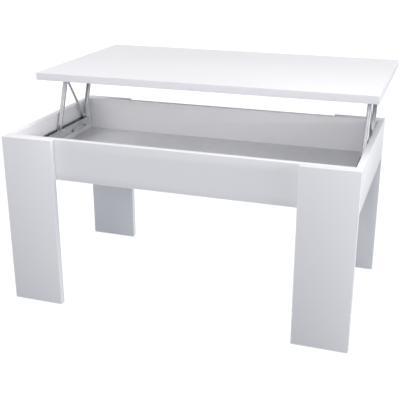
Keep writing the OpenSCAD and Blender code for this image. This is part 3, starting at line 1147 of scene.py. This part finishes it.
class TABLE_OT_washers(Operator):
    """Nylon spacers beside the arms"""
    bl_idname = "table.washers"
    bl_label = "Washers"

    def execute(self, context):
        for level, body in (("lower", "box"), ("upper", "top")):
            node = f"{level}_pivot_washers"
            rings = []
            for box in solids(node):
                wide = (box[1].x - box[0].x) / MM
                edge = min(0.25, wide * 0.3)
                profile = [(3.05, edge), (3.05 + edge, 0), (5.5 - edge, 0), (5.5, edge),
                           (5.5, wide - edge), (5.5 - edge, wide), (3.05 + edge, wide),
                           (3.05, wide - edge), (3.05, edge)]
                place = (box[0].x, middle(box).y, middle(box).z)
                rings.append(placed(turned("ring", profile), turned_to(0, place, 1)))
            hand_over(joined(f"{level}_nylon_spacers", rings), body, "black_plastic", node)
        return {"FINISHED"}


# ---- pull struts ----

def strut_pieces():
    """The five pieces of a strut that stands on its lower pin, as (name, slot, body, piece)."""
    length = STRUT_LENGTH / MM
    foot = turned("foot", [(0, -3.7), (2.2, -3.7), (4.6, -3.7), (4.9, -3.45), (5.4, -3.2),
                           (6.7, -3.2), (7.2, -3.45), (7.45, -3.7), (7.75, -3.6), (8.0, -3.2),
                           (8.0, -0.5), (7.8, -0.3), (7.8, 0.3), (8.0, 0.5), (8.0, 3.2),
                           (7.75, 3.6), (7.45, 3.7), (7.2, 3.45), (6.7, 3.2), (5.4, 3.2),
                           (4.9, 3.45), (4.6, 3.7), (0, 3.7)], 48)
    placed(foot, Matrix.Rotation(math.pi / 2, 4, "Y"))
    drill(foot, (-10 * MM, 0, 0), (10 * MM, 0, 0), PIN_HOLE)
    drill(foot, (0, 0, 5.8 * MM), (0, 0, 12 * MM), 3.76 * MM)
    sleeve, end, wall = 88, length - 9.5, 8
    tube = turned("tube", [(0, 6), (3.2, 6), (3.7, 6.5), (3.7, sleeve - 3), (3.62, sleeve - 2.2),
                           (3.62, sleeve - 0.8), (3.4, sleeve - 0.25), (3.1, sleeve),
                           (3.1, end - 9.2), (2.92, end - 8.6), (2.92, end - 7.8), (3.1, end - 7.2),
                           (3.1, end - 1.0), (2.98, end - 0.3), (2.7, end), (2.4, end - 0.2),
                           (2.4, wall), (0, wall)], 32)
    gland = turned("gland", [(1.65, end - 7), (2.39, end - 7), (2.39, end - 0.5), (2.2, end - 0.05),
                             (1.85, end - 0.02), (1.65, end - 0.3), (1.65, end - 7)], 32)
    rod = turned("rod", [(0, 10.5), (2.1, 10.5), (2.32, 10.75), (2.32, 11.7), (2.05, 11.9),
                         (2.05, 13.1), (2.32, 13.3), (2.32, 14.25), (2.1, 14.5), (1.6, 14.5),
                         (1.6, length - 3.8), (0, length - 3.8)], 24)
    eye = turned("eye", [(0, -3.7), (4.4, -3.7), (5.1, -3.55), (5.5, -3.1), (5.5, 3.1), (5.1, 3.55),
                         (4.4, 3.7), (0, 3.7)], 40)
    placed(eye, Matrix.Translation((0, 0, length * MM)) @ Matrix.Rotation(math.pi / 2, 4, "Y"))
    neck = turned("neck", [(0, length - 7.2), (2.3, length - 7.2), (2.6, length - 6.9),
                           (2.6, length - 4), (0, length - 4)], 28)
    combine(eye, neck, "UNION")
    drill(eye, (-10 * MM, 0, length * MM), (10 * MM, 0, length * MM), PIN_HOLE)
    drill(eye, (0, 0, (length - 9) * MM), (0, 0, (length - 3.78) * MM), 1.62 * MM, 24)
    return [("foot", "black_plastic", "tube", foot), ("tube", "dark_steel", "tube", tube),
            ("gland", "black_plastic", "tube", gland), ("rod", "pin_steel", "rod", rod),
            ("eye", "dark_steel", "rod", eye)]


class TABLE_OT_struts(Operator):
    """Telescoping pull struts between the rear lower and the front upper pins"""
    bl_idname = "table.struts"
    bl_label = "Pull Struts"

    def execute(self, context):
        pin = LOWER_PINS[1]
        for part, slot, body, master in strut_pieces():
            for side, x in (("left", ARM_PLANE), ("right", -ARM_PLANE)):
                stand = Matrix.Translation((x, pin.y, pin.z)) @ Matrix.Rotation(STRUT_LEAN, 4, "X")
                piece = placed(copy_of(master, f"strut_{part}_turned_{side}"), stand)
                hand_over(piece, f"strut_{body}_{side}", slot, f"strut_{part}_{side}")
            bpy.data.objects.remove(master)
        return {"FINISHED"}


# ---- stage ----

def studio_floor(glow, bounce):
    """A wide white floor. It glows, so that it stays white and its shadows stay faint."""
    clear_selection()
    bpy.ops.mesh.primitive_plane_add(size=60)
    floor = rename(bpy.context.active_object, "studio_floor")
    open_mesh(floor, "FACE")
    bpy.ops.mesh.select_all(action="SELECT")
    bpy.ops.mesh.subdivide(number_cuts=4)
    close_mesh()
    tree, shader = new_material("Studio Floor")
    shader.inputs["Base Color"].default_value = (0.16, 0.16, 0.16, 1)
    shader.inputs["Roughness"].default_value = 1
    shader.inputs["Specular IOR Level"].default_value = 0
    path = tree.nodes.new("ShaderNodeLightPath")
    colour = tree.nodes.new("ShaderNodeMix")
    colour.data_type = "RGBA"
    feed(tree, colour.inputs[6], bounce)
    feed(tree, colour.inputs[7], (1, 1, 1))
    tree.links.new(path.outputs["Is Camera Ray"], colour.inputs["Factor"])
    tree.links.new(colour.outputs[2], shader.inputs["Emission Color"])
    seen = remap(tree, path.outputs["Is Camera Ray"], 0, 1, glow, 0.97)
    tree.links.new(seen, shader.inputs["Emission Strength"])
    floor.data.materials.append(bpy.data.materials["Studio Floor"])


def studio_world(strength):
    """An even pale room. The camera sees it as white."""
    world = bpy.data.worlds.new("Studio Room")
    bpy.context.scene.world = world
    world.use_nodes = True
    tree = world.node_tree
    light = tree.nodes["Background"]
    light.inputs["Color"].default_value = (0.975, 0.98, 1.02, 1)
    light.inputs["Strength"].default_value = strength
    seen = tree.nodes.new("ShaderNodeBackground")
    seen.inputs["Color"].default_value = (1, 1, 1, 1)
    mix = tree.nodes.new("ShaderNodeMixShader")
    path = tree.nodes.new("ShaderNodeLightPath")
    tree.links.new(path.outputs["Is Camera Ray"], mix.inputs["Fac"])
    tree.links.new(light.outputs["Background"], mix.inputs[1])
    tree.links.new(seen.outputs["Background"], mix.inputs[2])
    tree.links.new(mix.outputs["Shader"], tree.nodes["World Output"].inputs["Surface"])


def studio_light(name, place, target, size, power):
    lamp = bpy.data.lights.new(name, "AREA")
    lamp.shape = "RECTANGLE"
    lamp.size, lamp.size_y = size
    lamp.energy = power
    obj = bpy.data.objects.new(name, lamp)
    bpy.context.scene.collection.objects.link(obj)
    obj.location = place
    obj.rotation_euler = (Vector(target) - Vector(place)).to_track_quat("-Z", "Y").to_euler()


# Name, place, target and size of each light. The name is also its power's setting.
LIGHTS = (
    ("Key", (5.0, -0.1, 1.1), (0, 0, 0.4), (3.2, 2.0)),
    ("Overhead", (-3.5, 0.8, 4.0), (0, 0.1, 0.4), (3, 3)),
    ("Rear", (1.0, 2.5, 4.5), (0, 0.1, 0.4), (3, 2)),
    ("Front", (-0.3, -4.6, 1.9), (0, 0, 0.4), (4.4, 1.3)),
    ("High", (0.5, -3.4, 4.2), (0, 0, 0.4), (3.5, 2.0)),
)


class TABLE_OT_stage(Operator):
    """Camera, soft lights and the pale floor"""
    bl_idname = "table.stage"
    bl_label = "Stage"

    def execute(self, context):
        scene = context.scene
        stage = scene.table_stage
        camera = bpy.data.cameras.new("Camera")
        camera.lens = stage.lens
        camera.sensor_width = 36
        camera.clip_end = 200
        eye = bpy.data.objects.new("Camera", camera)
        scene.collection.objects.link(eye)
        eye.location = stage.place
        eye.rotation_euler = stage.turn
        scene.camera = eye
        scene.view_settings.view_transform = "Standard"
        scene.view_settings.look = "None"
        studio_floor(stage.floor, stage.bounce)
        studio_world(stage.sky)
        for name, place, target, size in LIGHTS:
            studio_light(name, place, target, size, getattr(stage, name.lower()))
        return {"FINISHED"}


# ---- add-on ----

PIECES = (
    TABLE_OT_legs, TABLE_OT_aprons, TABLE_OT_end_panels, TABLE_OT_storage_floor,
    TABLE_OT_tabletop, TABLE_OT_base_channels, TABLE_OT_top_channels, TABLE_OT_arms,
    TABLE_OT_pins, TABLE_OT_washers, TABLE_OT_channel_screws, TABLE_OT_board_screws,
    TABLE_OT_glides, TABLE_OT_bumpers, TABLE_OT_struts,
)


class TABLE_PT_pieces(Panel):
    """Lists the table's sizes and colours, and a button for each group of pieces"""
    bl_idname = "TABLE_PT_pieces"
    bl_label = "Lift Top Table"
    bl_space_type = "VIEW_3D"
    bl_region_type = "UI"
    bl_category = "Lift Table"

    def draw(self, context):
        for settings in (boards(), pressings(), finishes(), context.scene.table_stage):
            box = self.layout.box()
            for key in type(settings).__annotations__:
                box.prop(settings, key)
        for piece in (*PIECES, TABLE_OT_stage):
            self.layout.operator(piece.bl_idname)


SETTINGS = {
    "table_boards": TableBoards, "table_steel": TableSteel,
    "table_finish": TableFinish, "table_stage": TableStage,
}
CLASSES = (*SETTINGS.values(), *PIECES, TABLE_OT_stage, TABLE_PT_pieces)


def register():
    for cls in CLASSES:
        bpy.utils.register_class(cls)
    for name, cls in SETTINGS.items():
        setattr(bpy.types.Scene, name, PointerProperty(type=cls))


def unregister():
    for name in SETTINGS:
        delattr(bpy.types.Scene, name)
    for cls in reversed(CLASSES):
        bpy.utils.unregister_class(cls)


def main():
    register()
    for piece in (*PIECES, TABLE_OT_stage):
        family, name = piece.bl_idname.split(".")
        getattr(getattr(bpy.ops, family), name)()


if __name__ == "__main__":
    main()
